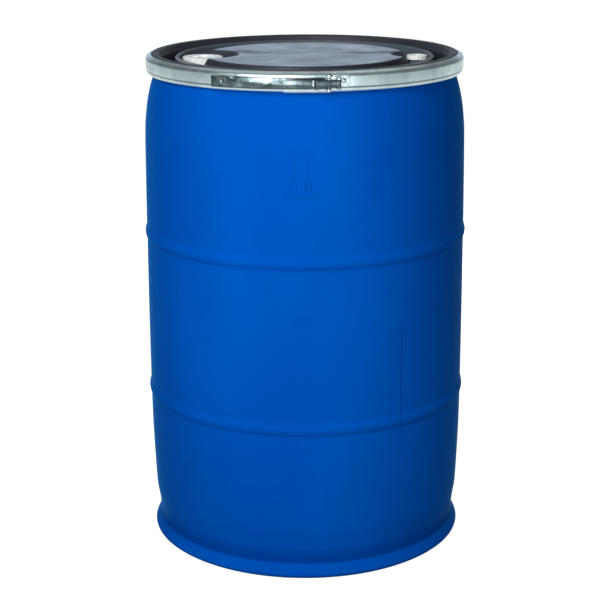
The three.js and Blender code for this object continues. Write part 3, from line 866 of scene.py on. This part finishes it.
def build_seal_lug():
    """A small plate with a fin that stands out through the lever's tongue and holds the seal's eye."""
    azimuths = spread(azimuth_of(-146.5), azimuth_of(-128), 8)
    section = plate_section(PLATE_R, PLATE_OUT, 901.5, 915.5)
    piece = to_object("seal_eye", raw_sweep([section] * len(azimuths), azimuths))
    half, low, high = 0.8, PLATE_R + 0.8, 311.1
    fin = soften([(-3.5, low), (3.5, low), (3.5, high), (-3.5, high)], [0, 0, 2.4, 2.4], 5)
    standing = [(-half, y, z) for y, z in fin] + [(half, y, z) for y, z in fin]
    size = len(fin)
    faces = [tuple(range(size))[::-1], tuple(range(size, 2 * size))]
    faces += [(k, (k + 1) % size, size + (k + 1) % size, size + k) for k in range(size)]
    place = on_ring(azimuth_of(SEAL_X), SEAL_Z)
    boolean(piece, [moved((standing, faces), place)], "UNION")
    eye = moved(raw_turned([(0, -4), (1.7, -4), (1.7, 4), (0, 4)], 24),
                place @ Matrix.Translation((0, 0, 307.8)) @ Matrix.Rotation(math.pi / 2, 4, "Y"))
    boolean(piece, [eye, rivet_hole(SEAL_RIVET_X, SEAL_Z)])
    bevelled(piece, 0.2)
    return finished(piece, SHEET_ZINC, "closure_ring", "seal_lug")


LINK_RIVET = (66, 911)


def build_link_bracket():
    azimuths = spread(azimuth_of(48), azimuth_of(76.5), 12)
    low, high, upper_ear = 898.7, 921.0, 913.8
    section = plate_section(PLATE_R, PLATE_OUT, low, high)
    piece = to_object("link_bracket_plate", raw_sweep([section] * len(azimuths), azimuths))
    ear = ear_outline(BRACKET_PIN_X, PLATE_R + 0.7, 4.4)
    boolean(piece, [raw_prism(ear, z, z + SHEET) for z in (low, upper_ear)], "UNION")
    boolean(piece, [pin_hole(BRACKET_PIN_X), rivet_hole(*LINK_RIVET)])
    bevelled(piece, 0.22)
    return finished(piece, SHEET_ZINC, "band_free_end", "link_bracket")


RIVETS = {
    "lever_bracket_rivet_left": (BRACKET_RIVET_X[0], RIVET_HEIGHT, "closure_ring"),
    "lever_bracket_rivet_right": (BRACKET_RIVET_X[1], RIVET_HEIGHT, "closure_ring"),
    "seal_lug_rivet": (SEAL_RIVET_X, SEAL_Z, "closure_ring"),
    "link_bracket_rivet": (*LINK_RIVET, "band_free_end"),
}


def build_rivet(node, x, z, body):
    inside, outside = RING_R - SHEET - 0.95, PLATE_OUT + GAP
    dome = [(4.2 * math.cos(t), outside + 0.25 + 1.4 * math.sin(t)) for t in spread(0, math.pi / 2, 8)]
    dimple = [(1.0, outside + 1.62), (0.6, outside + 1.3), (0, outside + 1.2)]
    outline = [(0, inside - 1.3), (3.6, inside - 1.3), (4, inside - 0.9), (4, inside), (2.2, inside),
               (2.2, outside), (4.2, outside)] + dome[:-1] + dimple
    piece = to_object(f"{node}_fine", moved(raw_turned(outline, 40), on_ring(azimuth_of(x), z)))
    return finished(piece, BRIGHT_ZINC, body, node)


# Each pin's x, its body, and the radius and height of its heads.
PINS = {
    "lever_pivot_pin": (PIVOT_X, "closure_ring", 3.4, 2.2),
    "link_pin": (LINK_PIN_X, "lever", 3.3, 1.1),
    "link_bracket_pin": (BRACKET_PIN_X, "band_free_end", 3.3, 1.4),
}


def build_pin(node, x, body, head_r, head):
    low, high = box_mm(node)
    outline = soften([
        (0, low[2]), (head_r, low[2]), (head_r, low[2] + head), (PIN_R, low[2] + head),
        (PIN_R, high[2] - head), (head_r, high[2] - head), (head_r, high[2]), (0, high[2]),
    ], [0, 0.8, 0.2, 0.1, 0.1, 0.2, 0.8, 0], 4, closed=False)
    place = Matrix.Translation((*polar(PIN_CIRCLE, azimuth_of(x, PIN_CIRCLE)), 0))
    piece = to_object(f"{node}_fine", moved(raw_turned(outline, 32), place))
    return finished(piece, BRIGHT_ZINC, body, node)


# ---------- lever and link ----------
def smooth_step(value, low, high):
    t = min(max((value - low) / (high - low), 0), 1)
    return t * t * (3 - 2 * t)


def lever_section(x):
    """The pressed channel at one station: crowned web, flanges that fade out in the tongue, raised grip."""
    low, high = LEVER_LOW[2], LEVER_HIGH[2]
    middle, half = (low + high) / 2, (high - low) / 2
    tongue = 1 - smooth_step(x, -130, -119)
    crown = 1.9 - 1.6 * tongue
    outer = WEB_R + SHEET - 0.8
    edge = outer - crown
    depth = 1.8 + (edge - FLANGE_IN - 1.8) * (1 - tongue)
    raised = 0.8 * smooth_step(x, -122, -114) * (1 - smooth_step(x, -42, -34))
    rib = 4.4

    def web(z):
        return outer - crown * (z / half) ** 2 + raised * (1 - smooth_step(abs(z), rib - 1.4, rib))

    outside = [(web(z), middle + z) for z in spread(half - 1.2, -half + 1.2, 14)]
    outside = [(edge - depth, high), (edge, high)] + outside + [(edge, low), (edge - depth, low)]
    outside = soften(outside, [0, 1.0] + [0] * 15 + [1.0, 0], 3, closed=False)
    reach = half - SHEET
    inside = [(web(z) - SHEET, middle + z) for z in spread(-reach, reach, 14)]
    return outside + [(edge - depth, low + SHEET)] + inside + [(edge - depth, high - SHEET)]


def flange_end(low, high):
    """The last stretch of a flange, past the end of the web, rounded about the pivot pin."""
    a = azimuth_of(PIVOT_X, PIN_CIRCLE)
    pin = Vector(polar(PIN_CIRCLE, a))
    round_r = PIN_CIRCLE - FLANGE_IN - 0.4
    start, web_end = azimuth_of(27, WEB_R), azimuth_of(35, WEB_R)
    outline = [polar(WEB_R - 1.2, t) for t in spread(start, web_end, 3)]
    outline += [tuple(pin + Vector((math.cos(t), math.sin(t))) * round_r)
                for t in spread(a - math.pi / 2, a + math.pi / 2, 12)]
    outline += [polar(FLANGE_IN + 0.05, t) for t in spread(a, start, 4)[1:]]
    return raw_prism(outline, low + 0.04, high - 0.04)


def build_lever():
    azimuths = spread(azimuth_of(-158, WEB_R), azimuth_of(34.4, WEB_R), 96)
    sections = [lever_section(WEB_R * math.sin(a)) for a in azimuths]
    piece = to_object("lever_channel", raw_sweep(sections, azimuths))
    low, high = LEVER_LOW[2], LEVER_HIGH[2]
    boolean(piece, [flange_end(low, low + SHEET), flange_end(high - SHEET, high)], "UNION")
    slot_azimuths = spread(azimuth_of(13, WEB_R), azimuth_of(41, WEB_R), 6)
    slot_section = plate_section(WEB_R - 3.5, WEB_R + 4, low + 2.6, high - 3.6)
    slot = raw_sweep([slot_section] * len(slot_azimuths), slot_azimuths)
    seal_slot = moved(raw_prism(soften([(-2.5, -5), (2.5, -5), (2.5, 5), (-2.5, 5)], 1.4, 4), 300, 312),
                      on_ring(azimuth_of(SEAL_X), SEAL_Z))
    boolean(piece, [slot, seal_slot, pin_hole(PIVOT_X), pin_hole(LINK_PIN_X)])
    bevelled(piece, 0.18, angle=40)
    return finished(piece, LEVER_ZINC, "lever", "lever")


def build_link():
    """A bent strip with a rolled eye at each end, passing outside the lever's pivot."""
    a0, a1 = (azimuth_of(x, PIN_CIRCLE) for x in (LINK_PIN_X, BRACKET_PIN_X))
    p0, p1 = Vector(polar(PIN_CIRCLE, a0)), Vector(polar(PIN_CIRCLE, a1))
    low, high = 901, 913
    half = 0.95
    mid = PIN_HOLE + half
    sweep = math.radians(280)

    def eye(pin, first, last):
        return [tuple(pin + Vector((math.cos(t), math.sin(t))) * mid) for t in spread(first, last, 28)]

    out0, out1 = a0 - math.pi / 2, a1 - math.pi / 2
    path = eye(p0, out0 - sweep, out0)
    path += [polar(PIN_CIRCLE + mid, a) for a in spread(a0, a1, 8)[1:-1]]
    path += eye(p1, out1, out1 + sweep)
    piece = bevelled(to_object("draw_link", raw_prism(strip(path, half, -half), low, high)), 0.25)
    return finished(piece, LINK_ZINC, "link", "link")


# ---------- stage ----------
def build_stage():
    """A floor that glows white. It is seen and mirrored, but it doesn't light the drum from below."""
    bpy.ops.mesh.primitive_plane_add(size=60)
    floor = bpy.context.object
    floor.name = "studio_floor"
    n = Nodes("studio_floor")
    tone = n.mix(n.ramp(n.noise(0.4, 2.0), 0.3, 0.7), (0.24, 0.24, 0.24), (0.26, 0.26, 0.26))
    floor.data.materials.append(n.set(Base_Color=tone, Roughness=1.0, Specular_IOR_Level=0.0,
                                      Emission_Color=(1.0, 1.0, 1.0), Emission_Strength=0.97))
    floor.visible_diffuse = False


def lamp(name, location, target, power, size, color=(1, 1, 1)):
    data = bpy.data.lights.new(name, "AREA")
    data.energy = power
    data.color = color
    data.shape = "RECTANGLE"
    data.size, data.size_y = size
    made = bpy.data.objects.new(name, data)
    bpy.context.scene.collection.objects.link(made)
    made.location = location
    made.rotation_euler = (Vector(target) - Vector(location)).to_track_quat("-Z", "Y").to_euler()


def build_lights():
    """A soft key from the front left with two weak lamps to fill it, a ceiling, a low lamp for the drum's
    back, and a pale strip behind that the lid mirrors."""
    world = bpy.data.worlds.new("studio")
    bpy.context.scene.world = world
    world.use_nodes = True
    sky = world.node_tree.nodes["Background"]
    sky.inputs["Color"].default_value = (0.93, 0.97, 1.0, 1)
    sky.inputs["Strength"].default_value = 0.24
    middle = (0, 0, 0.45)
    lamp("ceiling", (0, 1.4, 3.4), (0, 0.3, 0), 14, (3.0, 2.4))
    lamp("key", (-0.95, -2.0, 1.95), middle, 42, (0.9, 0.9))
    lamp("front", (-0.45, -1.7, 1.0), middle, 9.5, (0.7, 0.7))
    lamp("fill", (0.3, -1.9, 0.75), middle, 8.0, (1.6, 0.6))
    lamp("back", (0, 2.6, 0.3), middle, 34, (0.9, 0.5))
    lamp("backdrop", (0, 4.5, 1.55), (0, 0, 0.92), 20, (5.0, 0.9), (0.64, 0.81, 1.0))


CAMERA_AT = (0, -2.9446, 1.2751)
CAMERA_TILT, CAMERA_ROLL = 15.68, -0.215


def build_camera():
    """The view of the photograph: a long lens, a little above the lid, looking down about 16 degrees."""
    data = bpy.data.cameras.new("view")
    data.lens = 95.1
    data.sensor_width = 36.0
    data.shift_x = -0.009
    data.clip_end = 100
    camera = bpy.data.objects.new("view", data)
    bpy.context.scene.collection.objects.link(camera)
    camera.location = CAMERA_AT
    camera.rotation_euler = (math.radians(90 - CAMERA_TILT), 0, 0)
    camera.rotation_euler.rotate_axis("Z", math.radians(CAMERA_ROLL))
    bpy.context.scene.camera = camera


def build_all():
    build_camera()
    build_drum()
    build_lid()
    build_lid_gasket()
    for key in ("large", "small"):
        build_bung(key)
        build_bung_gasket(key)
    build_band()
    build_lever_bracket()
    build_seal_lug()
    build_link_bracket()
    for node, rivet in RIVETS.items():
        build_rivet(node, *rivet)
    for node, pin in PINS.items():
        build_pin(node, *pin)
    build_lever()
    build_link()
    build_stage()
    build_lights()


build_all()
bpy.context.scene.view_settings.view_transform = "Standard"
